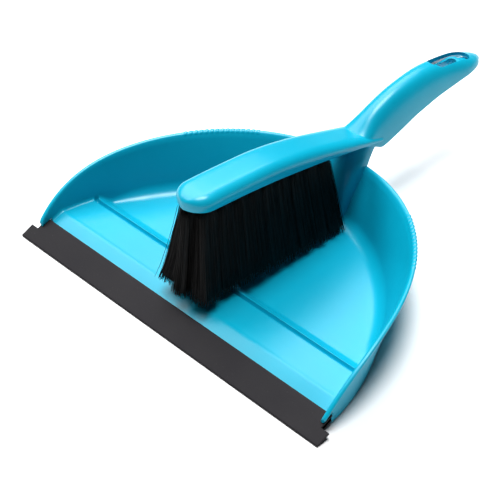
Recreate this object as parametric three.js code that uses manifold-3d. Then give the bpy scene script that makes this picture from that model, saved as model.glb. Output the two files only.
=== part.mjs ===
// Dust pan and brush set: a moulded dust pan with a rubber lip, and a hand brush that nests on its handle.
//
// Units are millimetres and +Z is up. +Y runs from the lip towards the handles, and the whole object is
// symmetric about X = 0. The model is drawn with Y = 0 at the front of the lip, and the exported group is then
// moved so that the origin is on the floor under the middle of the set.

import * as THREE from "three";
import { mergeVertices } from "three/addons/utils/BufferGeometryUtils.js";
import Module from "manifold-3d";

const wasm = await Module();
wasm.setup();

// ---------------------------------------------------------------- driving dimensions

const LENGTH = 337.6; // front of the lip to the tip of the handle

// Rubber lip: a channel that clamps the pan's front edge, with a blade in front of it.
const LIP_WIDTH = 300; // along the blade
const LIP_EAR = 6.6; // how far the blade stands out past the clamp at each end
const LIP_SLOPE = THREE.MathUtils.degToRad(22.7);
const LIP_TIP_HEIGHT = 0.78; // top of the blade's front edge
const BLADE_DEPTH = 10.4;
const LIP_DEPTH = 22.3; // front edge to the back of the upper flap
const FLAP = 1.5; // thickness of the channel's upper flap
const LOWER_FLAP = 1.4;

// Pan.
const WALL = 2; // wall thickness
const GAP = 0.3; // between pieces that touch
const TONGUE = 1.9; // the pan's front edge, inside the lip
const PLATFORM = 12.2; // height of the front platform
const PLATFORM_FRONT = 30;
const RIDGE = 61; // where the platform ends and the floor drops
const STEP_LENGTH = 9;
const FLOOR = 6; // top of the dirt well's floor
const COVE = 8; // radius between floor and wall
const WALL_FRONT = 9.6; // front ends of the side walls
const ARC_START = 14.6; // where the straight sides turn into the arc
const BASE_HALF = 142.4;
const BASE_DEPTH = 163;
const BASE_POWER = 1.75;
const RIM_HALF = 146.3;
const RIM_DEPTH = 181.5;
const RIM_POWER = 2.05;
const RIM_HEIGHT = 46.5;
const RIM_DROP = 42; // how much lower the rim is at the lip
const RIM_FADE = 33; // distance over which it comes up to its full height
const FLARE_POWER = 1.25;
const BEAD = 1.7; // radius of the bead round the rim
const COMB_TEETH = 15; // on each side of the handle
const COMB_FROM = 30; // degrees round the rim from the middle of the back
const COMB_TO = 50;
const TOOTH = [1.6, 3, 1.6]; // along the rim, across it, and high

// Brush.
const SKIN = 2.5; // thickness of the hollow handle
const HEAD_HALF = 15.6;
const HEAD_FRONT = 28;
const HEAD_END = 214;
const HANDLE_HALF = 13.5;
const HOLE_DEPTH = 6.4;
const TUFT_RADIUS = 3;
const TUFT_SIDES = 12;
const TUFT_COLLAR = 2.2; // a tuft is still round this far below the head
const TUFT_SPREAD = { below: 8.5, half: [3.45, 6.4] }; // and meets its neighbours this far below it
const STAPLE_DEPTH = 1; // from the end of the hole to the slot for the staple
const HOLE_RADIUS = 3.35;
const TUFT_ROWS = [
  { x: -7.6, tipX: -11.9, count: 9, root: [42, 152], tip: [36, 160], half: [5.8, 7.4] },
  { x: 0, tipX: 0, count: 10, root: [35, 158.5], tip: [31.5, 160], half: [5.5, 6.8] },
  { x: 7.6, tipX: 11.9, count: 9, root: [42, 152], tip: [36, 160], half: [5.8, 7.4] },
];
const TRIM_FRONT = { y: 25, z: 21 }; // the bristles are trimmed to a plane that falls towards the back
const TRIM_SLOPE = -0.096;
const ANCHOR = [5.2, 0.6, 1.6]; // wire staple that holds a tuft: across, thick, high
const ANCHOR_SLOT = 1.2;

// ---------------------------------------------------------------- materials

const MATERIALS = {
  cyan: new THREE.MeshStandardMaterial({ color: 0x16b4dc, roughness: 0.28, metalness: 0 }),
  rubber: new THREE.MeshStandardMaterial({ color: 0x38363c, roughness: 0.7, metalness: 0 }),
  bristle: new THREE.MeshStandardMaterial({ color: 0x070707, roughness: 0.5, metalness: 0 }),
  steel: new THREE.MeshStandardMaterial({ color: 0xb8b8b4, roughness: 0.35, metalness: 1 }),
};

// ---------------------------------------------------------------- solids

const point = (x, y, z) => new THREE.Vector3(x, y, z);

// A closed three.js geometry as a solid. Its shared vertices are merged, and an inside-out one is turned.
function solid(geometry) {
  const bare = geometry.clone();
  bare.deleteAttribute("normal");
  bare.deleteAttribute("uv");
  const merged = mergeVertices(bare, 1e-4);
  const vertProperties = merged.attributes.position.array;
  const triVerts = new Uint32Array(merged.index.array);
  if (signedVolume(vertProperties, triVerts) < 0)
    for (let i = 0; i < triVerts.length; i += 3)
      [triVerts[i + 1], triVerts[i + 2]] = [triVerts[i + 2], triVerts[i + 1]];
  return new wasm.Manifold(new wasm.Mesh({ numProp: 3, vertProperties, triVerts }));
}

function signedVolume(positions, triangles) {
  const corner = (i) => new THREE.Vector3().fromArray(positions, 3 * triangles[i]);
  let sum = 0;
  for (let i = 0; i < triangles.length; i += 3)
    sum += corner(i).dot(corner(i + 1).cross(corner(i + 2)));
  return sum;
}

// A solid through a row of rings with the same number of points, closed by a fan at each end.
function loft(rings) {
  const around = rings[0].length;
  const positions = [];
  const index = [];
  for (const ring of rings) for (const p of ring) positions.push(p.x, p.y, p.z);
  for (let i = 0; i + 1 < rings.length; i++)
    for (let j = 0; j < around; j++) {
      const a = i * around + j;
      const b = i * around + ((j + 1) % around);
      index.push(a, b, b + around, a, b + around, a + around);
    }
  for (const end of [0, rings.length - 1]) {
    const centre = rings[end].reduce((sum, p) => sum.add(p), point(0, 0, 0)).divideScalar(around);
    const hub = positions.push(centre.x, centre.y, centre.z) / 3 - 1;
    for (let j = 0; j < around; j++) {
      const a = end * around + j;
      const b = end * around + ((j + 1) % around);
      index.push(...(end ? [hub, a, b] : [hub, b, a]));
    }
  }
  const geometry = new THREE.BufferGeometry();
  geometry.setAttribute("position", new THREE.Float32BufferAttribute(positions, 3));
  return solid(geometry.setIndex(index));
}

// A profile in the YZ plane, given as [y, z] pairs, drawn out along X between two places.
function prism(profile, fromX, toX) {
  const shape = new THREE.Shape(profile.map(([y, z]) => new THREE.Vector2(y, z)));
  const geometry = new THREE.ExtrudeGeometry(shape, { depth: toX - fromX, bevelEnabled: false });
  // The extrusion's x, y and z become Y, Z and X.
  const turn = new THREE.Matrix4().makeBasis(point(0, 1, 0), point(0, 0, 1), point(1, 0, 0));
  return solid(geometry.applyMatrix4(turn).translate(fromX, 0, 0));
}

function mesh(name, body, material) {
  const made = body.getMesh();
  const geometry = new THREE.BufferGeometry();
  const positions = new Float32Array(made.numVert * 3);
  for (let i = 0; i < made.numVert; i++)
    positions.set(made.vertProperties.subarray(i * made.numProp, i * made.numProp + 3), 3 * i);
  geometry.setAttribute("position", new THREE.BufferAttribute(positions, 3));
  geometry.setIndex(new THREE.BufferAttribute(new Uint32Array(made.triVerts), 1));
  geometry.computeVertexNormals();
  const named = new THREE.Mesh(geometry, material);
  named.name = name;
  return named;
}

// A smooth height along Y through a few [y, z] points.
function heightCurve(points) {
  const curve = new THREE.SplineCurve(points.map(([y, z]) => new THREE.Vector2(y, z)));
  const samples = curve.getPoints(points.length * 12);
  return (y) => {
    const i = Math.max(1, samples.findIndex((p) => p.x >= y));
    const a = samples[i - 1];
    const b = y > samples.at(-1).x ? samples.at(-1) : samples[i];
    const share = THREE.MathUtils.clamp((y - a.x) / Math.max(b.x - a.x, 1e-6), 0, 1);
    return a.y + (b.y - a.y) * share;
  };
}

const steps = (from, to, count) =>
  Array.from({ length: count }, (_, i) => from + ((to - from) * i) / (count - 1));

const power = (value, n) => Math.sign(value) * Math.abs(value) ** (2 / n);

// ---------------------------------------------------------------- rubber lip

// A point of the lip's section: along the slope from the front edge, and square to it from the top face.
function onLip(along, down) {
  return [
    along * Math.cos(LIP_SLOPE) + down * Math.sin(LIP_SLOPE),
    LIP_TIP_HEIGHT + along * Math.sin(LIP_SLOPE) - down * Math.cos(LIP_SLOPE),
  ];
}

const CHANNEL = TONGUE + 2 * GAP;
const CHANNEL_END = 12.2;

function rubberLip() {
  const under = FLAP + CHANNEL;
  const clamp = prism(
    [
      onLip(BLADE_DEPTH - 2, 0),
      onLip(LIP_DEPTH, 0),
      onLip(LIP_DEPTH, FLAP),
      onLip(CHANNEL_END, FLAP),
      onLip(CHANNEL_END, under),
      onLip(LIP_DEPTH - 2, under),
      onLip(LIP_DEPTH - 2, under + LOWER_FLAP),
      onLip(BLADE_DEPTH + 1, under + LOWER_FLAP),
      onLip(BLADE_DEPTH - 2, 2),
    ],
    -LIP_WIDTH / 2 + LIP_EAR,
    LIP_WIDTH / 2 - LIP_EAR,
  );
  const blade = prism(
    [onLip(0, 0), onLip(BLADE_DEPTH, 0), onLip(BLADE_DEPTH, 2), onLip(3.5, 1.9), onLip(0.4, 1)],
    -LIP_WIDTH / 2,
    LIP_WIDTH / 2,
  );
  return clamp.add(blade);
}

// ---------------------------------------------------------------- pan

const flare = (z) => Math.max(0, z / RIM_HEIGHT) ** FLARE_POWER;
const rimHeight = (y) => RIM_HEIGHT - RIM_DROP * Math.exp(-(y - WALL_FRONT) / RIM_FADE);

// A point of the pan's outer face at a height: 0 degrees is its right side, and 90 the middle of the back.
function wallPoint(degrees, z, inset = 0) {
  const share = flare(z);
  const half = THREE.MathUtils.lerp(BASE_HALF, RIM_HALF, share) - inset;
  const depth = THREE.MathUtils.lerp(BASE_DEPTH, RIM_DEPTH, share) - inset;
  const n = THREE.MathUtils.lerp(BASE_POWER, RIM_POWER, share);
  const a = THREE.MathUtils.degToRad(degrees);
  return point(half * power(Math.cos(a), n), ARC_START + depth * power(Math.sin(a), n), z);
}

const ARC_POINTS = 47;

function wallRing(z, inset, frontY) {
  const arc = steps(0, 180, ARC_POINTS).map((degrees) => wallPoint(degrees, z, inset));
  return [point(arc[0].x, frontY, z), ...arc, point(arc.at(-1).x, frontY, z)];
}

// The place on the rim at an angle, found by settling its height and its place on the flared wall together.
function rimPoint(degrees, inset = 0) {
  let place = wallPoint(degrees, RIM_HEIGHT, inset);
  for (let i = 0; i < 6; i++) place = wallPoint(degrees, rimHeight(place.y), inset);
  return place;
}

// The tongue inside the lip, the ramp behind it, the platform, the step down and the dirt well's floor.
function floorLine() {
  const line = [onLip(CHANNEL_END + GAP, FLAP + GAP), [PLATFORM_FRONT, PLATFORM - 0.3], [RIDGE, PLATFORM]];
  for (const share of steps(0, 1, 6).slice(1)) {
    const ease = (1 - Math.cos(Math.PI * share)) / 2;
    line.push([RIDGE + STEP_LENGTH * share, THREE.MathUtils.lerp(PLATFORM, FLOOR, ease)]);
  }
  return [...line, [BEHIND, FLOOR]];
}

// The same line on the underside, so that the floor is as thick everywhere as the tongue.
function undersideLine() {
  const [, ...rest] = floorLine();
  return [onLip(CHANNEL_END + GAP, FLAP + GAP + TONGUE), ...rest.map(([y, z]) => [y, z - TONGUE])];
}

// Places outside the pan, for the ends of the volumes that are cut out of it.
const IN_FRONT = -20;
const BEHIND = 220;
const ABOVE = 80;
const BELOW = -5;
const ASIDE = 200;

// Walls and floor: the outer volume, hollowed from above down to the floor and from below up to it.
function panShell() {
  const outside = loft([0, 7, 14, 21, 28, 35, 42, 49].map((z) => wallRing(z, 0, WALL_FRONT)));
  const cove = steps(0, 90, 4).map((degrees) => {
    const a = THREE.MathUtils.degToRad(degrees);
    return wallRing(FLOOR + COVE * (1 - Math.cos(a)), WALL + COVE * (1 - Math.sin(a)), IN_FRONT);
  });
  const lowest = cove[0].map((p) => p.clone().setZ(0));
  const upper = [21, 28, 35, 42, 52].map((z) => wallRing(z, WALL, IN_FRONT));
  const overFloor = [[IN_FRONT, 0], ...floorLine(), [BEHIND, ABOVE], [IN_FRONT, ABOVE]];
  const aboveFloor = prism(overFloor, -ASIDE, ASIDE);
  const tray = loft([lowest, ...cove, ...upper]).intersect(aboveFloor);
  const underFloor = [[IN_FRONT, TONGUE], ...undersideLine(), [BEHIND, BELOW], [IN_FRONT, BELOW]];
  const belowFloor = prism(underFloor, -ASIDE, ASIDE);
  const underneath = loft([BELOW, 0, 7, 14].map((z) => wallRing(z, WALL, IN_FRONT))).intersect(belowFloor);
  const rimLine = steps(WALL_FRONT - 5, BEHIND, 32).map((y) => [y, rimHeight(y)]);
  const front = [[IN_FRONT, ABOVE], [IN_FRONT, rimLine[0][1]]];
  const overRim = prism([...front, ...rimLine, [BEHIND, ABOVE]], -ASIDE, ASIDE);
  return outside.subtract(tray).subtract(underneath).subtract(overRim);
}

// A round bead along the top of the walls.
function rimBead() {
  const angles = steps(0, 180, 41);
  const front = rimPoint(0);
  const line = [
    point(front.x, WALL_FRONT + BEAD, rimHeight(WALL_FRONT + BEAD)),
    ...angles.map((degrees) => rimPoint(degrees)),
    point(-front.x, WALL_FRONT + BEAD, rimHeight(WALL_FRONT + BEAD)),
  ];
  const section = new THREE.Shape(
    steps(0, 315, 8).map((degrees) => {
      const a = THREE.MathUtils.degToRad(degrees);
      return new THREE.Vector2(BEAD * Math.cos(a), BEAD * Math.sin(a));
    }),
  );
  const path = new THREE.CatmullRomCurve3(line, false, "centripetal");
  return solid(new THREE.ExtrudeGeometry(section, { steps: 64, extrudePath: path, bevelEnabled: false }));
}

// Small teeth along two stretches of the rim, which comb fluff out of the bristles.
function combTeeth() {
  const teeth = [];
  for (const side of [-1, 1])
    for (const degrees of steps(COMB_FROM, COMB_TO, COMB_TEETH)) {
      const place = rimPoint(90 - side * degrees);
      const next = rimPoint(90 - side * (degrees + 0.5));
      const tooth = new THREE.BoxGeometry(...TOOTH);
      tooth.rotateZ(Math.atan2(next.y - place.y, next.x - place.x));
      tooth.translate(place.x, place.y, place.z + BEAD - 0.3);
      teeth.push(solid(tooth));
    }
  return wasm.Manifold.union(teeth);
}

// The pan's handle as stations: the edge on its open side, its crown, and its half width.
const PAN_HANDLE = [
  { edge: [176.5, 3], crown: [168.5, 3], half: 10.5 },
  { edge: [180, 14], crown: [170.5, 13], half: 11.6 },
  { edge: [185.3, 26], crown: [173.5, 27], half: 13 },
  { edge: [190.3, 37], crown: [177.5, 41], half: 14.2 },
  { edge: [195.5, 45.5], crown: [183, 53], half: 14.4 },
  { edge: [203, 52.5], crown: [191, 61.5], half: 12 },
  { edge: [210, 58], crown: [203, 69], half: 10.4 },
  { edge: [220, 61], crown: [216, 76.5], half: 10 },
  { edge: [234, 65], crown: [232, 83], half: 10 },
  { edge: [250, 69], crown: [250, 87.5], half: 10 },
  { edge: [268, 73], crown: [269, 89], half: 10 },
  { edge: [288, 76], crown: [290, 86.8], half: 9.8 },
  { edge: [306, 77], crown: [308, 82.8], half: 8.6 },
  { edge: [318, 76.5], crown: [320, 80], half: 7.4 },
  { edge: [325, 76], crown: [326, 78.4], half: 6 },
  { edge: [327.5, 76], crown: [328.2, 77.4], half: 4.4 },
];

// Half an ellipse over the edge, in the plane through edge and crown, with an optional wall taken off inside.
function handleRing({ edge, crown, half }, wall = 0, open = 0) {
  const length = Math.hypot(crown[0] - edge[0], crown[1] - edge[1]);
  const out = [(crown[0] - edge[0]) / length, (crown[1] - edge[1]) / length];
  return steps(0, 180, 15).map((degrees) => {
    const a = THREE.MathUtils.degToRad(degrees);
    const up = (length - wall) * Math.abs(Math.sin(a)) ** 0.85 - (Math.sin(a) < 1e-6 ? open : 0);
    return point((half - wall) * Math.cos(a), edge[0] + up * out[0], edge[1] + up * out[1]);
  });
}

const PAN_HOOK_HOLE = { y: 301, length: 20, width: 7 };
const BRUSH_HOOK_HOLE = { y: 303, length: 44, width: 14 };

// An upright slot with round ends, lying along Y.
function slot({ y, length, width }, fromZ, toZ) {
  const shape = new THREE.Shape();
  const straight = (length - width) / 2;
  shape.absarc(0, straight, width / 2, 0, Math.PI, false);
  shape.absarc(0, -straight, width / 2, Math.PI, 2 * Math.PI, false);
  const options = { depth: toZ - fromZ, bevelEnabled: false, curveSegments: 8 };
  return solid(new THREE.ExtrudeGeometry(shape, options).translate(0, y, fromZ));
}

function panHandle() {
  const hollow = PAN_HANDLE.slice(1, 12).map((station) => handleRing(station, WALL + 0.3, 6));
  const ring = slot({ ...PAN_HOOK_HOLE, length: 26, width: 11 }, 78, 84);
  return {
    body: loft(PAN_HANDLE.map((station) => handleRing(station))).add(ring),
    hollow: loft(hollow).add(slot(PAN_HOOK_HOLE, 60, 100)),
  };
}

// The room the lip's clamp takes at the pan's front, with a gap round it. Between the walls it is open above.
function clampRoom(half, above) {
  const tongueTop = FLAP + GAP;
  const tongueEnd = LIP_DEPTH - 2 + GAP;
  return prism(
    [
      onLip(-2, -above),
      onLip(LIP_DEPTH + GAP, -above),
      onLip(LIP_DEPTH + GAP, tongueTop),
      onLip(CHANNEL_END + GAP, tongueTop),
      onLip(CHANNEL_END + GAP, tongueTop + TONGUE),
      onLip(tongueEnd, tongueTop + TONGUE),
      onLip(tongueEnd, 9),
      onLip(-2, 9),
    ],
    -half,
    half,
  );
}

function dustPan() {
  const handle = panHandle();
  const moulded = panShell().add(rimBead()).add(combTeeth()).add(handle.body);
  const clampEnd = LIP_WIDTH / 2 - LIP_EAR + GAP;
  const room = clampRoom(clampEnd, GAP).add(clampRoom(BASE_HALF - WALL, COVE));
  return moulded.subtract(handle.hollow).subtract(room);
}

// ---------------------------------------------------------------- brush block

const headTop = heightCurve([
  [20, 101.5], [50, 101], [92, 97.6], [112, 94.8], [135, 89.8], [155, 84.3], [180, 76.6], [216, 65],
]);
const headBottom = heightCurve([
  [20, 91], [45, 89.5], [76, 86.6], [105, 82.9], [141, 76.8], [166, 71.4], [188, 66.6], [216, 60],
]);
const handleTop = heightCurve([
  [186, 68], [196, 72], [209, 80], [222, 85.9], [241, 91.2], [268, 94], [290, 91.9], [312, 87.4], [328, 81.8],
  [335, 79], [LENGTH, 77.5],
]);
const handleBottom = heightCurve([
  [186, 67.5], [196, 65], [206, 60.2], [214, 56.4], [224, 58.2], [238, 62.4], [251, 66.4], [265, 69.4],
  [278, 71.8], [300, 74], [320, 75.4], [LENGTH, 75],
]);

const FRONT_RADIUS = 15;
const TOP_EDGE = [8, 7]; // width and height of the rounding along the top
const BOTTOM_EDGE = 1.2;
const UNDERCUT = 0.6; // the head is this much narrower at its lower edge, on each side

// The head's section at a place along Y: flat top, wide round shoulders and nearly square lower edges.
function headRing(y) {
  const ahead = Math.max(0, HEAD_FRONT + FRONT_RADIUS - y) / FRONT_RADIUS;
  const round = Math.sqrt(Math.max(0, 1 - ahead ** 2));
  const taper = THREE.MathUtils.lerp(1, 0.9, THREE.MathUtils.smoothstep(y, 120, HEAD_END));
  const half = HEAD_HALF * taper * Math.max(round, 0.12);
  const top = headTop(y) - TOP_EDGE[1] * (1 - Math.max(round, 0.12) ** 0.7);
  const bottom = headBottom(y);
  const wide = Math.min(TOP_EDGE[0], half * 0.6);
  const tall = Math.min(TOP_EDGE[1], (top - bottom) * 0.6);
  const low = Math.min(BOTTOM_EDGE, half * 0.3);
  const quarter = (count) => steps(0, 90, count).map(THREE.MathUtils.degToRad);
  const shoulder = quarter(5).map((a) => [half - wide * (1 - Math.cos(a)), top - tall * (1 - Math.sin(a))]);
  const inner = half - UNDERCUT;
  const foot = quarter(2).map((a) => [inner - low * (1 - Math.sin(a)), bottom + low * (1 - Math.cos(a))]);
  const right = [...foot, ...shoulder];
  const left = right.map(([x, z]) => [-x, z]).reverse();
  return [...right, ...left].map(([x, z]) => point(x, y, z));
}

function brushHead() {
  const front = [0, 0.04, 0.14, 0.32, 0.6, 1].map((share) => HEAD_FRONT + FRONT_RADIUS * share);
  return loft([...front, ...steps(60, HEAD_END, 10)].map(headRing));
}

// The handle's half width: it swells behind the neck and ends in a round nose.
function handleHalf(y) {
  const nose = THREE.MathUtils.clamp((LENGTH - y) / 28, 0, 1);
  return HANDLE_HALF * Math.max(Math.sqrt(1 - (1 - nose) ** 2), 0.14);
}

function archRing(y, half, top, bottom) {
  return steps(0, 180, 19).map((degrees) => {
    const a = THREE.MathUtils.degToRad(degrees);
    return point(half * power(Math.cos(a), 2.3), y, bottom + (top - bottom) * power(Math.sin(a), 2.1));
  });
}

const HANDLE_STATIONS = [...steps(190, 310, 13), 318, 325, 330, 334, 336.8, LENGTH];
const HOLLOW_STATIONS = [...steps(193, 309, 13), 318, 325, 330];

function brushHandle() {
  const body = loft(HANDLE_STATIONS.map((y) => archRing(y, handleHalf(y), handleTop(y), handleBottom(y))));
  const hollow = loft(
    HOLLOW_STATIONS.map((y) => {
      const ring = archRing(y, handleHalf(y) - SKIN + 0.2, handleTop(y) - SKIN, handleBottom(y) - 0.5);
      // The two ends of the arch are drawn down, so that the hollow is open below.
      ring[0].z -= 12;
      ring[ring.length - 1].z -= 12;
      return ring;
    }),
  );
  return { body, hollow: hollow.add(slot(BRUSH_HOOK_HOLE, 60, 110)) };
}

// Where each tuft leaves the head, where its tip is, and its name.
function tuftPlan() {
  const plan = [];
  TUFT_ROWS.forEach((row, r) => {
    const roots = steps(...row.root, row.count);
    const tips = steps(...row.tip, row.count);
    roots.forEach((y, k) => {
      const tipZ = TRIM_FRONT.z + TRIM_SLOPE * (tips[k] - TRIM_FRONT.y);
      const root = point(row.x, y, headBottom(y));
      const tip = point(row.tipX, tips[k], tipZ);
      const label = `row${r + 1}_${String(k + 1).padStart(2, "0")}`;
      plan.push({ root, tip, half: row.half, up: root.clone().sub(tip).normalize(), label });
    });
  });
  return plan;
}

// Placement of a piece on a tuft's axis: its own Z runs up into the head from where the tuft leaves it.
function alongTuft(tuft) {
  const turn = new THREE.Quaternion().setFromUnitVectors(point(0, 0, 1), tuft.up);
  return new THREE.Matrix4().compose(tuft.root, turn, point(1, 1, 1));
}

function cylinder(radius, fromZ, toZ, sides) {
  const geometry = new THREE.CylinderGeometry(radius, radius, toZ - fromZ, sides);
  return geometry.rotateX(Math.PI / 2).translate(0, 0, (fromZ + toZ) / 2);
}

function brushBlock(tufts) {
  const handle = brushHandle();
  const holes = tufts.map((tuft) =>
    solid(cylinder(HOLE_RADIUS, -3, HOLE_DEPTH, TUFT_SIDES).applyMatrix4(alongTuft(tuft))),
  );
  return brushHead().add(handle.body).subtract(handle.hollow).subtract(wasm.Manifold.union(holes));
}

// A tuft: a round root in its hole, which soon fills the room between its neighbours down to the trimmed tip.
function tuftSolid(tuft) {
  const place = alongTuft(tuft);
  const around = steps(0, 360, TUFT_SIDES + 1).slice(1).map(THREE.MathUtils.degToRad);
  const circle = (z) =>
    around.map((a) => point(TUFT_RADIUS * Math.cos(a), TUFT_RADIUS * Math.sin(a), z).applyMatrix4(place));
  const block = (centre, [halfX, halfY]) =>
    around.map((a) => point(halfX * power(Math.cos(a), 4), halfY * power(Math.sin(a), 4), 0).add(centre));
  const tip = block(tuft.tip, tuft.half);
  for (const p of tip) p.z = TRIM_FRONT.z + TRIM_SLOPE * (p.y - TRIM_FRONT.y);
  const below = tuft.root.clone().addScaledVector(tuft.up, -TUFT_SPREAD.below);
  const spread = block(below, TUFT_SPREAD.half);
  const [, , high] = ANCHOR;
  const slotTop = HOLE_DEPTH - GAP - STAPLE_DEPTH;
  const opening = new THREE.BoxGeometry(3 * TUFT_RADIUS, ANCHOR_SLOT, high + 2 * GAP);
  opening.translate(0, 0, slotTop - high / 2 - GAP);
  const bundle = loft([tip, spread, circle(-TUFT_COLLAR), circle(HOLE_DEPTH - GAP)]);
  return bundle.subtract(solid(opening.applyMatrix4(place)));
}

// The wire staple that the filaments of a tuft fold round, deep in the hole.
function anchorSolid(tuft) {
  const [across, thick, high] = ANCHOR;
  const plate = new THREE.BoxGeometry(across, thick, high);
  plate.translate(0, 0, HOLE_DEPTH - STAPLE_DEPTH - 2 * GAP - high / 2);
  return solid(plate.applyMatrix4(alongTuft(tuft)));
}

// ---------------------------------------------------------------- assembly

const set = new THREE.Group();
set.position.y = -LENGTH / 2;

const tufts = tuftPlan();
set.add(mesh("dust_pan", dustPan(), MATERIALS.cyan));
set.add(mesh("rubber_lip", rubberLip(), MATERIALS.rubber));
set.add(mesh("brush_block", brushBlock(tufts), MATERIALS.cyan));
for (const tuft of tufts) {
  set.add(mesh(`bristle_tuft_${tuft.label}`, tuftSolid(tuft), MATERIALS.bristle));
  set.add(mesh(`tuft_staple_${tuft.label}`, anchorSolid(tuft), MATERIALS.steel));
}

export default set;
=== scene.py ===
"""Looks of the dust pan and brush set.

The pan and the brush block are moulded plastic, the lip is satin rubber, and each bristle is a filament.
Lengths in the shape functions are millimetres, with y = 0 at the front of the lip and z = 0 on the floor.
"""

import math

import bmesh
import bpy
import numpy as np
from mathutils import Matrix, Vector


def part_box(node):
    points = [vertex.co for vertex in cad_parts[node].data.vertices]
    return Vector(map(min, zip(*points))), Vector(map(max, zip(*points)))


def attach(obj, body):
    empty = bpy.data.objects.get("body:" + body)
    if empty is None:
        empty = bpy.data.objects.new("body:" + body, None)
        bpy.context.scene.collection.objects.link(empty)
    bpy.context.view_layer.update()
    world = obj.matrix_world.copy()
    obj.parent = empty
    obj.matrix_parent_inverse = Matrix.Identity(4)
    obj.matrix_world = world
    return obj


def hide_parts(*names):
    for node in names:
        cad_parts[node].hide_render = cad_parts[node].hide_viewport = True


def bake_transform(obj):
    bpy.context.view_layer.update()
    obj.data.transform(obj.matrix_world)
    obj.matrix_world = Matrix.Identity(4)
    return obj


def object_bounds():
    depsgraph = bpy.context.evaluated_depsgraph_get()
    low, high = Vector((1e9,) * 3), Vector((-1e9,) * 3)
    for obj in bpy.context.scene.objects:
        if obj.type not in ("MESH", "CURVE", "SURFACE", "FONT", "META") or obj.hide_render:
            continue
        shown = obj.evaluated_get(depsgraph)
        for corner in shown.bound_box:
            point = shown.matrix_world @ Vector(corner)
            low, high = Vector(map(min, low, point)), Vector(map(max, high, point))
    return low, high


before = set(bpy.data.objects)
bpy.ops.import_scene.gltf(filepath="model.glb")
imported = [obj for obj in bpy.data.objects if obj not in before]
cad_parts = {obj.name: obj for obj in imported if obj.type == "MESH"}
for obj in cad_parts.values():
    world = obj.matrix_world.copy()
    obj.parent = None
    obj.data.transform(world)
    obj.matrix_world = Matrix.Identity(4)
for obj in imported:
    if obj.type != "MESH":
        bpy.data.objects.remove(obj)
cad_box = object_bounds()

MM = 0.001
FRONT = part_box("rubber_lip")[0].y  # where the row frame has the front of the lip
LENGTH = (cad_box[1][1] - cad_box[0][1]) / MM
RANDOM = np.random.default_rng(7)

# ---------------------------------------------------------------- shape helpers


def at(y, z, x=0.0):
    """A point of the drawing in the row frame, in metres."""
    return (x * MM, y * MM + FRONT, z * MM)


def to_frame(points):
    """Points (x, y, z) of the drawing in the row frame, in metres."""
    placed = np.asarray(points, float) * MM
    placed[..., 1] += FRONT
    return placed


def lerp(a, b, t):
    return a + (b - a) * t


def smooth(t):
    t = np.clip(t, 0, 1)
    return t * t * (3 - 2 * t)


def signed_power(value, exponent):
    """A power that keeps the sign of its base."""
    return np.sign(value) * np.abs(value) ** exponent


def spline(points, samples):
    """Points along a Catmull-Rom curve through the given points."""
    points = np.asarray(points, float)
    padded = np.vstack([points[:1], points, points[-1:]])
    out = []
    for t in np.linspace(0, len(points) - 1, samples):
        i = min(int(t), len(points) - 2)
        u = t - i
        p0, p1, p2, p3 = padded[i : i + 4]
        v0, v1 = (p2 - p0) / 2, (p3 - p1) / 2
        out.append(
            (2 * p1 - 2 * p2 + v0 + v1) * u**3
            + (-3 * p1 + 3 * p2 - 2 * v0 - v1) * u**2
            + v0 * u
            + p1
        )
    return np.array(out)


def height_curve(points):
    """A smooth height along y through a few (y, z) points."""
    line = spline(points, 40 * len(points))
    return lambda y: np.interp(y, line[:, 0], line[:, 1])


def make_object(name, vertices, faces):
    """A mesh object from points of the drawing."""
    mesh = bpy.data.meshes.new(name)
    mesh.from_pydata(to_frame(vertices).tolist(), [], [list(map(int, f)) for f in faces])
    mesh.update()
    made = bpy.data.objects.new(name, mesh)
    bpy.context.scene.collection.objects.link(made)
    return made


def clean(obj, merge=1e-6):
    """Joins doubled points, drops empty faces and turns all the faces outwards."""
    work = bmesh.new()
    work.from_mesh(obj.data)
    bmesh.ops.remove_doubles(work, verts=work.verts, dist=merge)
    bmesh.ops.dissolve_degenerate(work, dist=merge, edges=work.edges)
    bmesh.ops.recalc_face_normals(work, faces=work.faces)
    work.to_mesh(obj.data)
    work.free()
    return obj


def grid_faces(rows, columns, first=0, around=False):
    """Quads over a grid of points stored row by row."""
    faces = []
    for i in range(rows - 1):
        for j in range(columns if around else columns - 1):
            a = first + i * columns + j
            b = first + i * columns + (j + 1) % columns
            faces.append((a, b, b + columns, a + columns))
    return faces


def loft(name, rings):
    """A closed solid through a row of rings that have the same number of points."""
    rings = np.asarray(rings, float)
    rows, columns = rings.shape[:2]
    faces = grid_faces(rows, columns, around=True)
    vertices = [*rings.reshape(-1, 3), rings[0].mean(0), rings[-1].mean(0)]
    start, end = rows * columns, rows * columns + 1
    last = (rows - 1) * columns
    for j in range(columns):
        k = (j + 1) % columns
        faces.append((start, k, j))
        faces.append((end, last + j, last + k))
    return clean(make_object(name, vertices, faces))


def prism(name, outline, stations):
    """An outline of (y, z) points drawn out along x, with a ring at each station."""
    return loft(name, [[(x, y, z) for y, z in outline] for x in stations])


def boolean(target, tool, operation):
    """Joins a tool to a target or cuts it away, and removes the tool."""
    modifier = target.modifiers.new("boolean", "BOOLEAN")
    modifier.operation = operation
    modifier.solver = "EXACT"
    modifier.object = tool
    graph = bpy.context.evaluated_depsgraph_get()
    mesh = bpy.data.meshes.new_from_object(target.evaluated_get(graph))
    target.modifiers.clear()
    target.data = mesh
    bpy.data.objects.remove(tool)
    return target


def shade(obj, degrees):
    """Smooth shading, with edges sharper than an angle kept crisp."""
    obj.data.shade_smooth()
    obj.data.set_sharp_from_angle(angle=math.radians(degrees))


# ---------------------------------------------------------------- rubber lip

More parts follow.
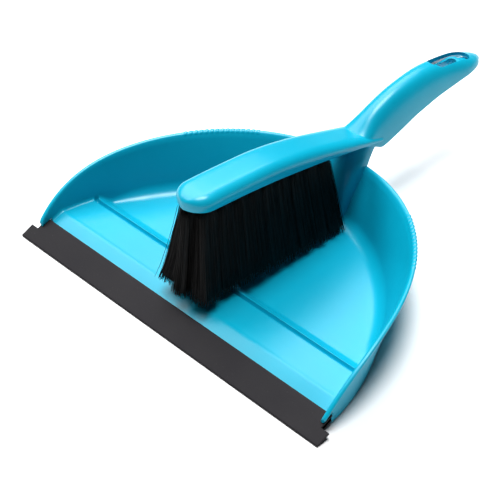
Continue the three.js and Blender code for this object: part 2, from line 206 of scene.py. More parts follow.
LIP_HALF = 150.0
CLAMP_HALF = LIP_HALF - 6.6
LIP_SLOPE = math.radians(22.7)
LIP_TIP_HEIGHT = 0.78  # top of the blade's front edge
BLADE_DEPTH = 10.4
LIP_DEPTH = 22.3  # front edge to the back of the upper flap
FLAP = 1.5  # thickness of the clamp's upper flap
LOWER_FLAP = 1.4
CHANNEL = 2.5  # height of the channel that holds the pan's edge
CHANNEL_END = 12.2  # how far forward the channel reaches
GAP = 0.3
TONGUE = 1.9  # thickness of the pan's floor, which ends in the channel


def on_lip(along, down):
    """A point of the lip's section: along its slope from the front edge, and down from its top face."""
    return (
        along * math.cos(LIP_SLOPE) + down * math.sin(LIP_SLOPE),
        LIP_TIP_HEIGHT + along * math.sin(LIP_SLOPE) - down * math.cos(LIP_SLOPE),
    )


def lip_piece():
    under = FLAP + CHANNEL
    lowest = under + LOWER_FLAP
    # Lines of points run across the blade's depth.
    blade_top = [(a, 0.0) for a in np.linspace(0.35, BLADE_DEPTH + 1, 14)]
    blade_under = [
        (a, lerp(1.9, 1.0, smooth((4.5 - a) / 4.5))) for a in np.linspace(BLADE_DEPTH, 0.5, 13)
    ]
    blade = [
        (0.0, 0.45),
        (0.1, 0.15),
        *blade_top,
        (BLADE_DEPTH + 1, 2.0),
        *blade_under,
        (0.12, 0.85),
    ]
    round_flap = [
        (LIP_DEPTH - 0.5, 0),
        (LIP_DEPTH - 0.12, 0.2),
        (LIP_DEPTH, 0.6),
        (LIP_DEPTH, FLAP - 0.15),
        (LIP_DEPTH - 0.2, FLAP),
    ]
    clamp = [
        (BLADE_DEPTH - 2, 0.01),
        *[(a, 0.0) for a in np.linspace(BLADE_DEPTH, LIP_DEPTH - 1.5, 8)],
        *round_flap,
        (CHANNEL_END, FLAP),
        (CHANNEL_END, under),
        (LIP_DEPTH - 2, under),
        (LIP_DEPTH - 2, under + 1.1),
        (LIP_DEPTH - 2.3, lowest),
        (BLADE_DEPTH + 1.6, lowest),
        (BLADE_DEPTH + 0.8, under + 1.1),
        (BLADE_DEPTH - 2, 1.85),
    ]

    def stations(half):
        """Places along x, with one close to each end."""
        end = 0.4
        return [-half, *np.linspace(-half + end, half - end, 41), half]

    piece = prism("rubber_lip_visual", [on_lip(*p) for p in blade], stations(LIP_HALF))
    back = prism("lip_clamp", [on_lip(*p) for p in clamp], stations(CLAMP_HALF))
    boolean(piece, back, "UNION")
    clean(piece, 1e-7)
    shade(piece, 35)
    return piece


# ---------------------------------------------------------------- pan

WALL = 2.0
PLATFORM = 12.2  # height of the platform behind the ramp
PLATFORM_FRONT = 30.0
RIDGE = 61.0  # the platform's back edge
STEP_FROM, STEP_TO = 58.8, 70.0  # the step falls straight from the groove
GROOVE_DEPTH, GROOVE_HALF, GROOVE_AT = 3.0, 1.3, 58.2  # the line along the platform's back edge
FLOOR = 6.0  # height of the well's floor
WALL_FRONT = 9.6  # where the line of the rim begins
WALL_END = 13.2  # where the walls' front ends are rounded off
ARC_START = 14.6  # the walls are straight in front of this and curved behind it
BASE_HALF, BASE_DEPTH, BASE_POWER = 142.4, 163.0, 1.75  # the walls' outline on the floor
RIM_HALF, RIM_DEPTH, RIM_POWER = 146.3, 181.5, 2.05  # and at the height of the rim's back
RIM_HEIGHT, RIM_DROP, RIM_FADE = 46.5, 42.0, 33.0
FLARE_POWER = 1.25
BEAD = 1.7  # radius of the rim's bead
COMB_TEETH, COMB_FROM, COMB_TO = 15, 30.0, 50.0  # degrees from the back, on each side
COMB_PITCH = (COMB_TO - COMB_FROM) / (COMB_TEETH - 1)
TOOTH_HEIGHT = 0.42
SLAB_FRONT = 21.3  # behind the lip, where the side walls reach down to the floor
ACROSS = 28  # points in each line across the pan's floor
TONGUE_BACK, TONGUE_HALF = 22.2, 142.0  # the part of the floor that enters the lip's channel
HOOK_RING = (301, 26, 11, 78, 84)  # raised ring round the hook hole: y, length, width, low, high
HOOK_HOLE = (301, 20, 7, 60, 100)


def rim_height(y):
    """The rim's line: low at the lip, and level towards the back."""
    return RIM_HEIGHT - RIM_DROP * np.exp(-(y - WALL_FRONT) / RIM_FADE)


def wall_point(degrees, z, inset=0.0, front=None):
    """The pan's wall at a height: 0 degrees is its right side and 90 the back.

    On the straight part of the side, front gives y instead.
    """
    share = max(0.0, z / RIM_HEIGHT) ** FLARE_POWER
    half = lerp(BASE_HALF, RIM_HALF, share) - inset
    depth = lerp(BASE_DEPTH, RIM_DEPTH, share) - inset
    n = lerp(BASE_POWER, RIM_POWER, share)
    a = math.radians(degrees)
    x = half * math.cos(a) ** (2 / n) if degrees < 90 else 0.0
    y = ARC_START + depth * math.sin(a) ** (2 / n)
    return (x, y if front is None else front)


def rim_place(degrees, front=None):
    """Height of the rim at an angle, where the wall's lean and the rim's line agree."""
    z = RIM_HEIGHT
    for _ in range(8):
        z = float(rim_height(wall_point(degrees, z, 0.0, front)[1]))
    return z


def floor_height(y):
    """Top of the floor: the ramp behind the lip, a faint bead, the platform, and the step into the well."""
    start = on_lip(LIP_DEPTH, FLAP + 0.3)
    ramp = lerp(start[1], PLATFORM - 0.3, (y - start[0]) / (PLATFORM_FRONT - start[0]))
    flat = lerp(PLATFORM - 0.3, PLATFORM, (y - PLATFORM_FRONT) / (RIDGE - PLATFORM_FRONT))
    soft = 0.35  # how softly the ramp turns into the platform
    top = -soft * math.log(math.exp(-ramp / soft) + math.exp(-flat / soft))
    top += 0.35 * math.exp(-(((y - PLATFORM_FRONT - 1.2) / 1.1) ** 2))
    down = min(max((y - STEP_FROM) / (STEP_TO - STEP_FROM), 0), 1)
    step = (1 - math.cos(math.pi * down)) / 2
    groove = GROOVE_DEPTH * math.exp(-(((y - GROOVE_AT) / GROOVE_HALF) ** 4))
    return lerp(top, FLOOR, step) - groove


def cove_radius(y):
    """Radius between floor and wall: small beside the platform and wide in the well."""
    return float(lerp(2.6, 8.0, smooth((y - RIDGE) / 30)))


def comb_tooth(degrees):
    """How far the rim stands up at an angle, from 0 between the comb's teeth to 1 on one."""
    from_back = 90 - degrees
    if not COMB_FROM - COMB_PITCH / 2 < from_back < COMB_TO + COMB_PITCH / 2:
        return 0.0
    tooth = (from_back - COMB_FROM) / COMB_PITCH
    return float(smooth((0.33 - abs(tooth - round(tooth))) / 0.14))


def wall_profile(degrees, front=None, cut=None):
    """The wall's section, from the floor inside, over the rim's bead and down to the floor's underside.

    cut is the height at which a section over the lip ends instead.
    """
    rim = rim_place(degrees, front)
    points = []

    def add(inset, z):
        x, y = wall_point(degrees, z, inset, front)
        points.append((x, y, z))

    foot_y = wall_point(degrees, FLOOR, WALL, front)[1]
    for _ in range(6):
        radius = cove_radius(foot_y)
        foot = floor_height(foot_y)
        foot_y = wall_point(degrees, foot, WALL + radius, front)[1]
    if cut is not None:
        radius, foot = 0.0, cut
    for a in np.radians(np.linspace(0, 90, 9)):
        add(WALL + radius * (1 - math.sin(a)), foot + radius * (1 - math.cos(a)))
    low = foot + radius
    for t in np.linspace(0, 1, 11)[1:]:
        add(WALL, lerp(low, max(rim - 0.5, low), t))
    lift = TOOTH_HEIGHT * comb_tooth(degrees)
    shrink = min(1.0, max(0.12, (rim - foot) / 3)) if cut is not None else 1.0
    for a in np.radians(np.linspace(0, 215, 18)):
        r = BEAD * shrink + lift * max(0.0, math.sin(a)) ** 0.5
        add(0.1 + r * math.cos(a), max(rim + r * math.sin(a), low))
    if cut is None:
        bottom, chamfer, corner, under = 0.0, 0.3, 0.3, floor_height(foot_y) - TONGUE
    else:
        bottom, chamfer, corner, under = cut, 0.0, 0.4, cut
    neck = max(rim - 2.4 * shrink, bottom)
    for t in np.linspace(0, 1, 12):
        add(0.0, lerp(neck, bottom + chamfer, t))
    add(corner, bottom)
    add(WALL - corner, bottom)
    for t in np.linspace(0, 1, 4):
        add(WALL, lerp(bottom + chamfer, under, t))
    return points


def lip_top(y):
    """Height just above the rubber lip."""
    return LIP_TIP_HEIGHT + y * math.tan(LIP_SLOPE) + GAP


def wall_profiles():
    """The wall's sections from its right front end to the back, and how many of them lie over the lip."""
    comb = [90 - COMB_TO - COMB_PITCH, 90 - COMB_FROM + COMB_PITCH]
    slab = math.degrees(math.asin(((SLAB_FRONT - ARC_START) / BASE_DEPTH) ** (BASE_POWER / 2)))
    angles = np.concatenate(
        [
            np.arange(slab, 12, 0.45),
            np.arange(12, 16, 0.8),
            np.arange(16, 24.5, 0.12),
            np.arange(24.5, comb[0], 0.8),
            np.arange(comb[0], comb[1], COMB_PITCH / 8),
            np.linspace(comb[1], 90, 26),
        ]
    )
    # In front of the slab the walls lie over the lip, and stop just above it.
    profiles = [wall_profile(0, y, lip_top(y)) for y in np.linspace(WALL_END, ARC_START, 5)]
    for share in (0.35, 0.7, 0.985):
        degrees = slab * share
        profiles.append(wall_profile(degrees, None, lip_top(wall_point(degrees, 8)[1])))
    cut_rows = len(profiles)
    return np.array(profiles + [wall_profile(a) for a in angles]), cut_rows


def pan_shell():
    """Walls, rim and floor as one closed skin."""
    right, cut_rows = wall_profiles()
    left = right[:-1][::-1] * np.array([-1, 1, 1])
    whole = np.concatenate([right, left])
    rows, columns = whole.shape[:2]
    points = whole.reshape(-1, 3)
    vertices = list(points)
    faces = grid_faces(rows, columns)

    def index(row, column):
        return row * columns + column

    def floor_row(row, column):
        """Points across the pan between a right-hand profile and its mirror image."""
        a, b = index(row, column), index(rows - 1 - row, column)
        ids = [a]
        for t in np.linspace(0, 1, ACROSS)[1:-1]:
            ids.append(len(vertices))
            vertices.append(lerp(points[a], points[b], t))
        return ids + [b]

    back = len(right) - 1
    for column in (0, columns - 1):
        lines = [floor_row(row, column) for row in range(cut_rows, back)]
        for one, two in zip(lines, lines[1:]):
            faces += [(one[k], one[k + 1], two[k + 1], two[k]) for k in range(ACROSS - 1)]
        tip = index(back, column)
        faces += [(lines[-1][k], lines[-1][k + 1], tip) for k in range(ACROSS - 1)]
        if column == 0:
            top_line = lines[0]
    under_line = lines[0]
    for k in range(ACROSS - 1):
        faces.append((top_line[k], under_line[k], under_line[k + 1], top_line[k + 1]))
    # The walls' front ends are closed, and so are the corners where the slab begins.
    for row, neighbour in ((cut_rows - 1, cut_rows), (rows - cut_rows, rows - 1 - cut_rows)):
        faces.append((index(row, 0), index(neighbour, 0), index(neighbour, columns - 1)))
    for row in (0, rows - 1):
        faces.append([index(row, k) for k in range(columns)])
    # The last points of a section over the lip lie on its first one, and are joined to it.
    return clean(make_object("dust_pan_visual", vertices, faces), 2e-6)


PAN_HANDLE = np.array(
    [
        # y and z of the lower edge, y and z of the crown, half width
        (176.5, 3, 168.5, 3, 10.5),
        (180, 14, 170.5, 13, 11.6),
        (185.3, 26, 173.5, 27, 13),
        (190.3, 37, 177.5, 41, 14.2),
        (195.5, 45.5, 183, 53, 14.4),
        (203, 52.5, 191, 61.5, 12),
        (210, 58, 203, 69, 10.4),
        (220, 61, 216, 76.5, 10),
        (234, 65, 232, 83, 10),
        (250, 69, 250, 87.5, 10),
        (268, 73, 269, 89, 10),
        (288, 76, 290, 86.8, 9.8),
        (306, 77, 308, 82.8, 8.6),
        (318, 76.5, 320, 80, 7.4),
        (325, 76, 326, 78.4, 6),
        (327.5, 76, 328.2, 77.4, 4.4),
    ],
    float,
)


def handle_ring(station, wall=0.0, opened=0.0):
    """Half an ellipse over the handle's edge, in the plane through edge and crown.

    For the hollow, wall makes it smaller, and opened takes its ends past the edge.
    """
    edge, crown, half = station[:2], station[2:4], station[4]
    length = np.hypot(*(crown - edge))
    out = (crown - edge) / length
    ring = []
    for a in np.radians(np.linspace(0, 180, 41)):
        lift = (length - wall) * abs(math.sin(a)) ** 0.85
        if math.sin(a) < 1e-6:
            lift = -opened
        y, z = edge + lift * out
        ring.append(((half - wall) * math.cos(a), y, z))
    return ring


def slot_rings(y, length, width, low, high):
    """An upright slot with round ends, lying along y."""
    straight, r = (length - width) / 2, width / 2
    outline = []
    for start, shift in ((0, straight), (180, -straight)):
        for a in np.radians(np.linspace(start, start + 180, 17)):
            outline.append((r * math.cos(a), y + shift + r * math.sin(a)))
    return [[(x, along, z) for x, along in outline] for z in (low, high)]


def pan_piece():
    """The pan with the tongue in the lip's channel and the hollow handle with its hook hole."""
    pan = pan_shell()
    back = floor_height(TONGUE_BACK)
    tongue = [
        on_lip(CHANNEL_END + GAP, FLAP + GAP),
        (TONGUE_BACK, back - 0.02),
        (TONGUE_BACK, back - TONGUE + 0.02),
        on_lip(CHANNEL_END + GAP, FLAP + GAP + TONGUE),
    ]
    boolean(pan, prism("tongue", tongue, np.linspace(-TONGUE_HALF, TONGUE_HALF, 9)), "UNION")
    stations = spline(PAN_HANDLE, 96)
    handle = loft("pan_handle", [handle_ring(s) for s in stations])
    boolean(handle, loft("hook_ring", slot_rings(*HOOK_RING)), "UNION")
    boolean(pan, handle, "UNION")
    hollow = loft("handle_hollow", [handle_ring(s, WALL + 0.3, 6) for s in stations[7:70]])
    boolean(pan, hollow, "DIFFERENCE")
    boolean(pan, loft("hook_hole", slot_rings(*HOOK_HOLE)), "DIFFERENCE")
    clean(pan, 1e-7)
    shade(pan, 38)
    return pan


# ---------------------------------------------------------------- brush block

SKIN = 2.5  # wall of the hollow handle
HEAD_HALF = 15.6
HEAD_FRONT = 28.0
HEAD_END = 214.0
FRONT_RADIUS = 15.0
TOP_EDGE = (8.0, 7.0)  # width and height of the head's round shoulders
BOTTOM_EDGE = 1.2
HANDLE_HALF = 13.5
NOSE = 28.0  # the handle narrows over this length
NOSE_RINGS = 27.6  # and is finely divided over this one
TIP_SHARE = 0.3  # the handle's blunt tip, as a share of its half width
HANG_HOLE = (303, 44, 14, 60, 110)  # y, length, width, low, high
HOLE_DEPTH = 6.4  # of the tufts' holes
HOLE_RADIUS = 3.35
HOLE_SIDES = 20

head_top = height_curve(
    [(20, 101.45), (50, 100.95), (92, 97.6), (112, 94.8), (135, 89.8), (155, 84.3), (180, 76.6), (216, 65)]
)
head_bottom = height_curve(
    [(20, 91), (45, 89.5), (76, 86.6), (105, 82.9), (141, 76.8), (166, 71.4), (188, 66.6), (216, 60)]
)
handle_top = height_curve(
    [
        *[(186, 68), (196, 72), (209, 80), (222, 85.9), (241, 91.2), (268, 94)],
        *[(290, 91.9), (312, 87.4), (328, 81.8), (335, 79), (LENGTH, 77.5)],
    ]
)
handle_bottom = height_curve(
    [
        *[(186, 67.5), (196, 65), (206, 60.2), (214, 56.4), (224, 58.2), (238, 62.4)],
        *[(251, 66.4), (265, 69.4), (278, 71.8), (300, 74), (320, 75.4), (LENGTH, 75)],
    ]
)


def head_ring(y, round_):
    """The head's section: a flat top, wide round shoulders and small lower edges."""
    taper = lerp(1, 0.9, float(smooth((y - 120) / (HEAD_END - 120))))
    half = HEAD_HALF * taper * round_
    top = head_top(y) - TOP_EDGE[1] * (1 - round_**0.7)
    bottom = head_bottom(y)
    wide = min(TOP_EDGE[0], half * 0.6)
    tall = min(TOP_EDGE[1], (top - bottom) * 0.6)
    low = min(BOTTOM_EDGE, half * 0.3)
    right = [(half - 0.6 - low * (1 - math.sin(a)), bottom + low * (1 - math.cos(a)))
             for a in np.radians(np.linspace(0, 90, 5))]
    right += [(half - wide * (1 - math.cos(a)), top - tall * (1 - math.sin(a)))
              for a in np.radians(np.linspace(0, 90, 15))]
    left = [(-x, z) for x, z in reversed(right)]
    flat = [(x, top) for x in np.linspace(right[-1][0], -right[-1][0], 7)[1:-1]]
    under = [(x, bottom) for x in np.linspace(left[-1][0], right[0][0], 9)[1:-1]]
    return [(x, y, z) for x, z in [*right, *flat, *left, *under]]


def brush_head():
    """The solid head, with a round front end."""
    rings = []
    for a in np.radians(np.linspace(4, 90, 22)):
        rings.append(head_ring(HEAD_FRONT + FRONT_RADIUS * (1 - math.cos(a)), max(math.sin(a), 0.12)))
    for y in np.linspace(46, HEAD_END, 58):
        rings.append(head_ring(y, 1.0))
    return loft("brush_block_visual", rings)


def handle_half(y):
    """Half width of the handle, which ends in a blunt nose."""
    nose = min(max((LENGTH - y) / NOSE, 0), 1)
    return HANDLE_HALF * max(math.sqrt(1 - (1 - nose) ** 2), TIP_SHARE)


def arch_ring(y, half, top, bottom, drop=0.0):
    """The handle's arched section; drop takes its ends down, so that a hollow opens below."""
    ring = []
    for a in np.radians(np.linspace(0, 180, 49)):
        x = half * signed_power(math.cos(a), 2 / 2.3)
        z = bottom + (top - bottom) * abs(math.sin(a)) ** (2 / 2.1)
        ring.append([x, y, z])
    ring[0][2] -= drop
    ring[-1][2] -= drop
    return ring


TUFT_ROWS = [
    # x at the root and tip, tufts, y of the first and last at the root and at the tip, half sizes
    (-7.6, -11.9, 9, (42, 152), (36, 160), (5.8, 7.4)),
    (0.0, 0.0, 10, (35, 158.5), (31.5, 160), (5.5, 6.8)),
    (7.6, 11.9, 9, (42, 152), (36, 160), (5.8, 7.4)),
]


def trim_height(y):
    """Height at which the bristles are cut off."""
    return 21 - 0.096 * (y - 25)


def tuft_axes():
    """Root, tip and tip half sizes of each tuft, with the name of its CAD node."""
    tufts = []
    for r, (x, tip_x, count, root, tip, half) in enumerate(TUFT_ROWS):
        for k in range(count):
            t = k / (count - 1)
            y, tip_y = lerp(*root, t), lerp(*tip, t)
            tufts.append(
                {
                    "node": f"bristle_tuft_row{r + 1}_{k + 1:02d}",
                    "root": np.array([x, y, float(head_bottom(y))]),
                    "tip": np.array([tip_x, tip_y, trim_height(tip_y)]),
                    "half": half,
                    "front": k == 0,
                    "back": k == count - 1,
                    "row": r,
                }
            )
    return tufts


def frame_along(direction):
    """Two unit vectors square to a direction."""
    one = np.cross(direction, [0, 1, 0])
    one /= np.linalg.norm(one)
    return one, np.cross(direction, one)


def tuft_holes(tufts):
    """The round holes that the tufts are folded into, as one tool."""
    vertices, faces = [], []
    for tuft in tufts:
        up = tuft["root"] - tuft["tip"]
        up /= np.linalg.norm(up)
        one, two = frame_along(up)
        first = len(vertices)
        for depth in (-3, HOLE_DEPTH):
            for a in np.linspace(0, 2 * math.pi, HOLE_SIDES, endpoint=False):
                ring = one * math.cos(a) + two * math.sin(a)
                vertices.append(tuft["root"] + up * depth + ring * HOLE_RADIUS)
        faces += grid_faces(2, HOLE_SIDES, first, around=True)
        faces.append([first + k for k in range(HOLE_SIDES)][::-1])
        faces.append([first + HOLE_SIDES + k for k in range(HOLE_SIDES)])
    return clean(make_object("tuft_holes", vertices, faces))


def block_piece(tufts):
    """The solid head with its tuft holes, and the hollow handle with its hang hole."""
    block = brush_head()
    nose = LENGTH - NOSE_RINGS * np.cos(np.radians(np.linspace(4, 90, 20)))
    outer = []
    for y in np.concatenate([np.linspace(190, 310, 46), nose]):
        outer.append(arch_ring(y, handle_half(y), handle_top(y), handle_bottom(y)))
    boolean(block, loft("handle_outer", outer), "UNION")
    inner = []
    for y in np.concatenate([np.linspace(193, 309, 40), np.linspace(312, 330, 9)]):
        half = handle_half(y) - SKIN + 0.2
        inner.append(arch_ring(y, half, handle_top(y) - SKIN, handle_bottom(y) - 0.5, 12))
    boolean(block, loft("handle_inner", inner), "DIFFERENCE")
    boolean(block, loft("hang_hole", slot_rings(*HANG_HOLE)), "DIFFERENCE")
    boolean(block, tuft_holes(tufts), "DIFFERENCE")
    clean(block, 1e-7)
    shade(block, 38)
    return block


# ---------------------------------------------------------------- bristles

FILAMENTS = 300  # in each tuft
FILAMENT_RADIUS = 0.19
COLLAR, SPREAD = 0.3, 5.0  # below the head, a tuft starts to spread, and then meets its neighbours
SPREAD_HALF = np.array([4.0, 7.2])
ROOT_RADIUS = 2.8
LEVELS = np.array([0.0, 0.025, 0.05, 0.09, 0.3, 0.55, 0.8, 1.0])  # shares of a tuft's length
FRONT_FLARE, BACK_FLARE, SIDE_FLARE = 6.0, 1.5, 4.0  # how far the outermost tips lean out
CORNER_FLARE = 3.5
STRAYS = 0.03  # share of bristles that stick out
CLUMPS = 7  # in each tuft, the bristles lean together in this many groups
TRIM_FLOOR = 13.4  # the tips stay just clear of the pan's platform
CORE_SIDES = 24
CORE_SHARE = 0.74  # the solid-looking middle of a tuft, as a share of its width


def tuft_half(tuft, t):
    """How far a tuft has spread at a share of its length, and its half sizes there."""
    length = np.linalg.norm(tuft["root"] - tuft["tip"])
    filled = smooth((t * length - COLLAR) / (SPREAD - COLLAR))
    return filled, lerp(SPREAD_HALF, np.array(tuft["half"]) * 1.08, t)


def tuft_place(tuft, t, disc, square, flare):
    """A point of a tuft, from its place in the round root and in the squared tuft."""
    filled, half = tuft_half(tuft, t)
    offset = lerp(disc * ROOT_RADIUS, square * half, filled) + flare * t**1.5
    centre = lerp(tuft["root"], tuft["tip"], t)
    return centre + np.array([offset[0], offset[1], 0])


def flare_of(tuft, square):
    """How far a bristle's tip leans out: forwards, backwards or to the side, if it is near the outside."""
    side = tuft["row"] - 1
    out_x = side * (1 + side * square[0]) / 2 * SIDE_FLARE
    out_y = 0.0
    if tuft["front"]:
        out_y = -FRONT_FLARE * (1 - square[1]) / 2
        out_x += side * CORNER_FLARE * (1 - square[1]) / 2
    if tuft["back"]:
        out_y = BACK_FLARE * (1 + square[1]) / 2
    return np.array([out_x, out_y])


def to_square(disc):
    """A place in the unit disc moved out into the unit square."""
    reach, widest = np.hypot(*disc), np.abs(disc).max()
    return disc * reach / widest if widest > 0 else disc


def add_tube(rings, vertices, faces):
    """Adds a closed tube through the rings to a mesh's vertices and faces."""
    first, around = len(vertices), len(rings[0])
    for ring in rings:
        vertices.extend(ring)
    faces += grid_faces(len(rings), around, first, around=True)
    last = first + around * (len(rings) - 1)
    faces.append([first + k for k in range(around)][::-1])
    faces.append([last + k for k in range(around)])


def filament(tuft, clumps):
    """The rings of one bristle, which starts inside the hole and ends near the trim."""
    angle, reach = RANDOM.uniform(0, 2 * math.pi), math.sqrt(RANDOM.uniform(0.05, 1))
    disc = np.array([math.cos(angle), math.sin(angle)]) * reach
    square = to_square(disc)
    nearest = clumps[np.argmin(((clumps - square) ** 2).sum(1))]
    flare = flare_of(tuft, square) + RANDOM.normal(0, 0.55, 2)
    flare += (nearest - square) * np.array(tuft["half"]) * RANDOM.uniform(0, 0.22)
    if RANDOM.uniform() < STRAYS:
        flare += square * RANDOM.uniform(0.5, 3.0)
    wave = RANDOM.normal(0, 0.35, 2)
    centres = []
    for t in LEVELS:
        place = tuft_place(tuft, t, disc, square, flare)
        place[:2] += wave * math.sin(math.pi * t)
        centres.append(place)
    end = centres[-1]
    over_platform = end[1] < STEP_TO + 2
    end[2] = max(trim_height(end[1]), TRIM_FLOOR if over_platform else 0) + RANDOM.gamma(1.3, 0.4)
    centres.insert(0, centres[0] + (tuft["root"] - tuft["tip"]) * 0.04)
    rings = []
    for k, centre in enumerate(centres):
        radius = FILAMENT_RADIUS * (0.7 if k == len(centres) - 1 else 1)
        corners = [np.array([radius * math.cos(a), radius * math.sin(a), 0]) for a in (0.3, 2.4, 4.5)]
        rings.append([centre + corner for corner in corners])
    return rings


def tuft_core(tuft):
    """The middle of the bundle, so dense with bristles that no light passes it."""
    rings = []
    for t in (-0.03, *LEVELS[:-1], 0.93, 0.965):
        ring = []
        share = CORE_SHARE if t < 0.95 else CORE_SHARE * 0.8
        for k in range(CORE_SIDES):
            a = 2 * math.pi * k / CORE_SIDES
            disc = np.array([math.cos(a), math.sin(a)])
            square = to_square(disc) * share
            ring.append(tuft_place(tuft, max(t, 0), disc * share, square, flare_of(tuft, square)))
            ring[-1][2] += (tuft["root"] - tuft["tip"])[2] * max(-t, 0)
        rings.append(ring)
    return rings


def tuft_piece(tuft):
    """One tuft: bristles folded into a hole, which spread until they meet the next tuft's."""
    vertices, faces = [], []
    clumps = RANDOM.uniform(-1, 1, (CLUMPS, 2))
    add_tube(tuft_core(tuft), vertices, faces)
    tones = [0.0] * len(vertices)
    for _ in range(FILAMENTS):
        add_tube(filament(tuft, clumps), vertices, faces)
        tone = RANDOM.uniform(0, 1) ** 2
        tones += [tone] * (len(vertices) - len(tones))
    piece = make_object(tuft["node"].replace("bristle_tuft", "filaments"), vertices, faces)
    attribute = piece.data.attributes.new("tone", "FLOAT", "POINT")
    attribute.data.foreach_set("value", np.array(tones, np.float32))
    work = bmesh.new()
    work.from_mesh(piece.data)
    bmesh.ops.recalc_face_normals(work, faces=work.faces)
    work.to_mesh(piece.data)
    work.free()
    piece.data.shade_smooth()
    return piece


# ---------------------------------------------------------------- materials


class Nodes:
    """A short way to write a material's node tree."""

    def __init__(self, name):
        self.material = bpy.data.materials.new(name)
        self.material.use_nodes = True
        self.tree = self.material.node_tree
        self.shader = self.tree.nodes["Principled BSDF"]
        self.place = self.add("ShaderNodeTexCoord").outputs["Object"]

    def add(self, kind, inputs=None, **settings):
        node = self.tree.nodes.new(kind)
        for key, value in settings.items():
            setattr(node, key, value)
        for key, value in (inputs or {}).items():
            if isinstance(value, bpy.types.NodeSocket):
                self.tree.links.new(value, node.inputs[key])
            else:
                node.inputs[key].default_value = value
        return node

    def stretched(self, scale):
        """Object coordinates scaled differently along each axis."""
        return self.add("ShaderNodeMapping", {"Vector": self.place, "Scale": scale}).outputs["Vector"]

    def noise(self, scale, detail=2.0, vector=None, roughness=0.5):
        inputs = {"Vector": vector or self.place, "Scale": scale, "Detail": detail, "Roughness": roughness}
        return self.add("ShaderNodeTexNoise", inputs).outputs["Fac"]

    def spread(self, value, from_low, from_high, to_low, to_high):
        """A value's range moved and stretched to another range."""
        inputs = {"Value": value, "From Min": from_low, "From Max": from_high}
        inputs |= {"To Min": to_low, "To Max": to_high}
        return self.add("ShaderNodeMapRange", inputs).outputs["Result"]

    def math(self, operation, one, two):
        return self.add("ShaderNodeMath", {0: one, 1: two}, operation=operation).outputs[0]

    def bevel(self, radius):
        """The normal, rounded at edges."""
        return self.add("ShaderNodeBevel", {"Radius": radius}, samples=6).outputs["Normal"]

    def mix(self, factor, one, two):
        node = self.add("ShaderNodeMix", data_type="RGBA")
        for socket, value in ((node.inputs[0], factor), (node.inputs[6], one), (node.inputs[7], two)):
            if isinstance(value, bpy.types.NodeSocket):
                self.tree.links.new(value, socket)
            else:
                socket.default_value = value
        return node.outputs[2]

    def bump(self, height, distance, strength=1.0, normal=None):
        inputs = {"Height": height, "Distance": distance, "Strength": strength}
        if normal is not None:
            inputs["Normal"] = normal
        return self.add("ShaderNodeBump", inputs).outputs["Normal"]

    def set(self, **values):
        """Sets or links the shader's inputs, and returns the material."""
        for key, value in values.items():
            socket = self.shader.inputs[key.replace("_", " ")]
            if isinstance(value, bpy.types.NodeSocket):
                self.tree.links.new(value, socket)
            else:
                socket.default_value = value
        return self.material


def cyan_plastic():
    """Semi-gloss moulded plastic, with a faint cloudiness, ripple and hairline scuffs."""
    n = Nodes("cyan_plastic")
    cloud = n.noise(14, 3)
    fine = n.noise(160, 4)
    base = n.mix(n.spread(cloud, 0.35, 0.65, 0, 1), (0.002, 0.385, 0.55, 1), (0.004, 0.42, 0.59, 1))
    base = n.mix(n.spread(fine, 0.5, 0.8, 0, 0.06), base, (0.03, 0.48, 0.66, 1))
    # Hairline scuffs along the way things are swept, in patches.
    scuff = n.noise(1.0, 5, n.stretched((2600, 38, 400)), 0.55)
    scuffs = n.spread(scuff, 0.64, 0.76, 0, 1)
    patch = n.spread(n.noise(18, 2), 0.5, 0.66, 0, 1)
    marks = n.math("MULTIPLY", scuffs, patch)
    rough = n.spread(fine, 0.3, 0.7, 0.29, 0.34)
    rough = n.math("ADD", rough, n.spread(marks, 0, 1, 0, 0.07))
    normal = n.bump(n.noise(28, 2), 0.0006, 0.22, n.bevel(0.0007))
    normal = n.bump(n.noise(1500, 2), 0.00003, 0.3, normal)
    return n.set(Base_Color=base, Roughness=rough, Normal=normal, IOR=1.49)


def lip_rubber():
    """Satin rubber with specks of dust, and fine lines along the way it was extruded."""
    n = Nodes("lip_rubber")
    cloud = n.noise(35, 4)
    base = n.mix(n.spread(cloud, 0.3, 0.7, 0, 1), (0.013, 0.0115, 0.0145, 1), (0.019, 0.0175, 0.0215, 1))
    dust = n.noise(700, 3)
    base = n.mix(n.spread(dust, 0.66, 0.78, 0, 0.16), base, (0.11, 0.11, 0.115, 1))
    drawn = n.noise(1.0, 4, n.stretched((12, 900, 900)), 0.6)
    rough = n.spread(cloud, 0.3, 0.7, 0.56, 0.68)
    normal = n.bump(drawn, 0.00006, 0.5, n.bevel(0.0004))
    normal = n.bump(n.noise(2200, 2), 0.00004, 0.5, normal)
    return n.set(Base_Color=base, Roughness=rough, Normal=normal, Specular_IOR_Level=0.3)


def bristle_fibre():
    """Black filament, each bristle a little lighter or darker and shinier than the next."""
    n = Nodes("bristle")
    tone = n.add("ShaderNodeAttribute", attribute_name="tone").outputs["Fac"]
    along = n.noise(1.0, 2, n.stretched((60, 60, 25)))
    base = n.mix(tone, (0.0012, 0.0012, 0.0013, 1), (0.012, 0.012, 0.0125, 1))
    base = n.mix(n.spread(along, 0.55, 0.75, 0, 0.4), base, (0.009, 0.009, 0.0095, 1))
    rough = n.spread(tone, 0, 1, 0.6, 0.42)
    normal = n.bump(n.noise(2600, 2), 0.00003, 0.3)
    return n.set(Base_Color=base, Roughness=rough, Normal=normal, Specular_IOR_Level=0.4)


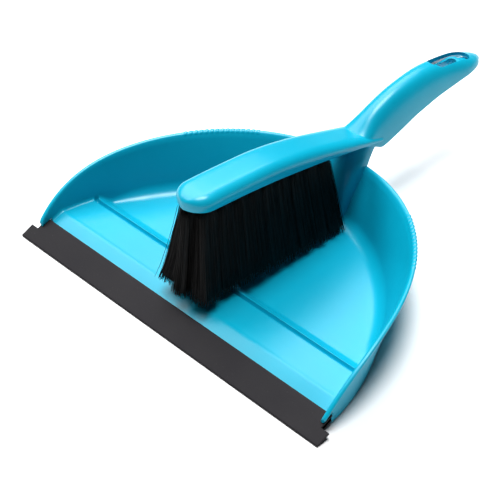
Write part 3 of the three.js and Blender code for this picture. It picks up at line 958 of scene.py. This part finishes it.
def staple_steel():
    """Drawn steel wire."""
    n = Nodes("staple_steel")
    drawn = n.noise(1.0, 3, n.stretched((200, 3000, 3000)))
    base = n.mix(n.spread(drawn, 0.3, 0.7, 0, 1), (0.50, 0.50, 0.48, 1), (0.62, 0.62, 0.60, 1))
    rough = n.spread(drawn, 0.3, 0.7, 0.25, 0.4)
    return n.set(Base_Color=base, Metallic=1.0, Roughness=rough, Normal=n.bump(drawn, 0.00002, 0.4))


def floor_paint():
    n = Nodes("studio_floor")
    base = n.mix(n.noise(3, 2), (0.90, 0.90, 0.905, 1), (0.92, 0.92, 0.925, 1))
    return n.set(Base_Color=base, Roughness=0.85)


# ---------------------------------------------------------------- pieces

PLASTIC, RUBBER, BRISTLE, STEEL = cyan_plastic(), lip_rubber(), bristle_fibre(), staple_steel()


def finish_piece(piece, body, material, slot, *nodes):
    """Gives a piece its material, hangs it on the body it rides on, and hides the CAD nodes it stands for.
    """
    piece.data.materials.clear()
    piece.data.materials.append(material)
    if body:
        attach(piece, body)
    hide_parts(*nodes)


tufts = tuft_axes()
finish_piece(pan_piece(), "pan", PLASTIC, "cyan_plastic", "dust_pan")
finish_piece(block_piece(tufts), "brush", PLASTIC, "cyan_plastic", "brush_block")
lip = lip_piece()
finish_piece(lip, None, RUBBER, "lip_rubber", "rubber_lip")
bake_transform(lip)
for tuft in tufts:
    finish_piece(tuft_piece(tuft), "brush", BRISTLE, "bristle", tuft["node"])
for name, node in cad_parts.items():
    if name.startswith("tuft_staple"):
        node.data.materials.clear()
        node.data.materials.append(STEEL)

# ---------------------------------------------------------------- stage, light and camera


def add_light(name, kind, location, target, energy):
    """A light at a place in the row frame, in metres, that shines towards another."""
    data = bpy.data.lights.new(name, kind)
    data.energy = energy
    light = bpy.data.objects.new(name, data)
    bpy.context.scene.collection.objects.link(light)
    light.location = location
    light.rotation_euler = (Vector(target) - Vector(location)).to_track_quat("-Z", "Y").to_euler()
    return data


def pale_world():
    """A backdrop that looks pale, though it gives little light."""
    world = bpy.data.worlds.new("studio")
    world.use_nodes = True
    nodes, links = world.node_tree.nodes, world.node_tree.links
    nodes["Background"].inputs["Color"].default_value = (0.93, 0.96, 1, 1)
    strength = nodes.new("ShaderNodeMapRange")
    strength.inputs["To Min"].default_value = 0.05
    strength.inputs["To Max"].default_value = 0.8
    links.new(nodes.new("ShaderNodeLightPath").outputs["Is Camera Ray"], strength.inputs["Value"])
    links.new(strength.outputs["Result"], nodes["Background"].inputs["Strength"])
    return world


def studio():
    """A pale floor under a broad overhead light and a long softbox beside the set."""
    work = bmesh.new()
    bmesh.ops.create_grid(work, x_segments=8, y_segments=8, size=6)
    mesh = bpy.data.meshes.new("studio_floor")
    work.to_mesh(mesh)
    work.free()
    floor = bpy.data.objects.new("studio_floor", mesh)
    floor.location.z = -0.0006
    bpy.context.scene.collection.objects.link(floor)
    floor.data.materials.append(floor_paint())
    overhead = add_light("overhead", "SUN", (-0.05, 0.12, 1.6), (0, 0, 0), 2.75)
    overhead.angle = math.radians(28)
    softbox = add_light("softbox", "AREA", (-0.85, 0.15, 1.25), (0, 0, 0.02), 21)
    softbox.shape = "RECTANGLE"
    softbox.size, softbox.size_y = 2.1, 0.8
    bpy.context.scene.world = pale_world()
    bpy.context.scene.view_settings.view_transform = "Standard"
    bpy.context.scene.view_settings.look = "Medium High Contrast"


LENS = 101.1
CAMERA_AT = at(-455.5, 647.1, 550.1)
CAMERA_AIM = at(78.4, 34.6, 11.6)


def camera():
    """The camera in front of the pan, to its right and above it."""
    data = bpy.data.cameras.new("camera")
    data.lens = LENS
    data.sensor_width = 36
    data.clip_end = 20
    made = bpy.data.objects.new("camera", data)
    bpy.context.scene.collection.objects.link(made)
    made.location = CAMERA_AT
    made.rotation_euler = (Vector(CAMERA_AIM) - made.location).to_track_quat("-Z", "Y").to_euler()
    bpy.context.scene.camera = made


studio()
camera()
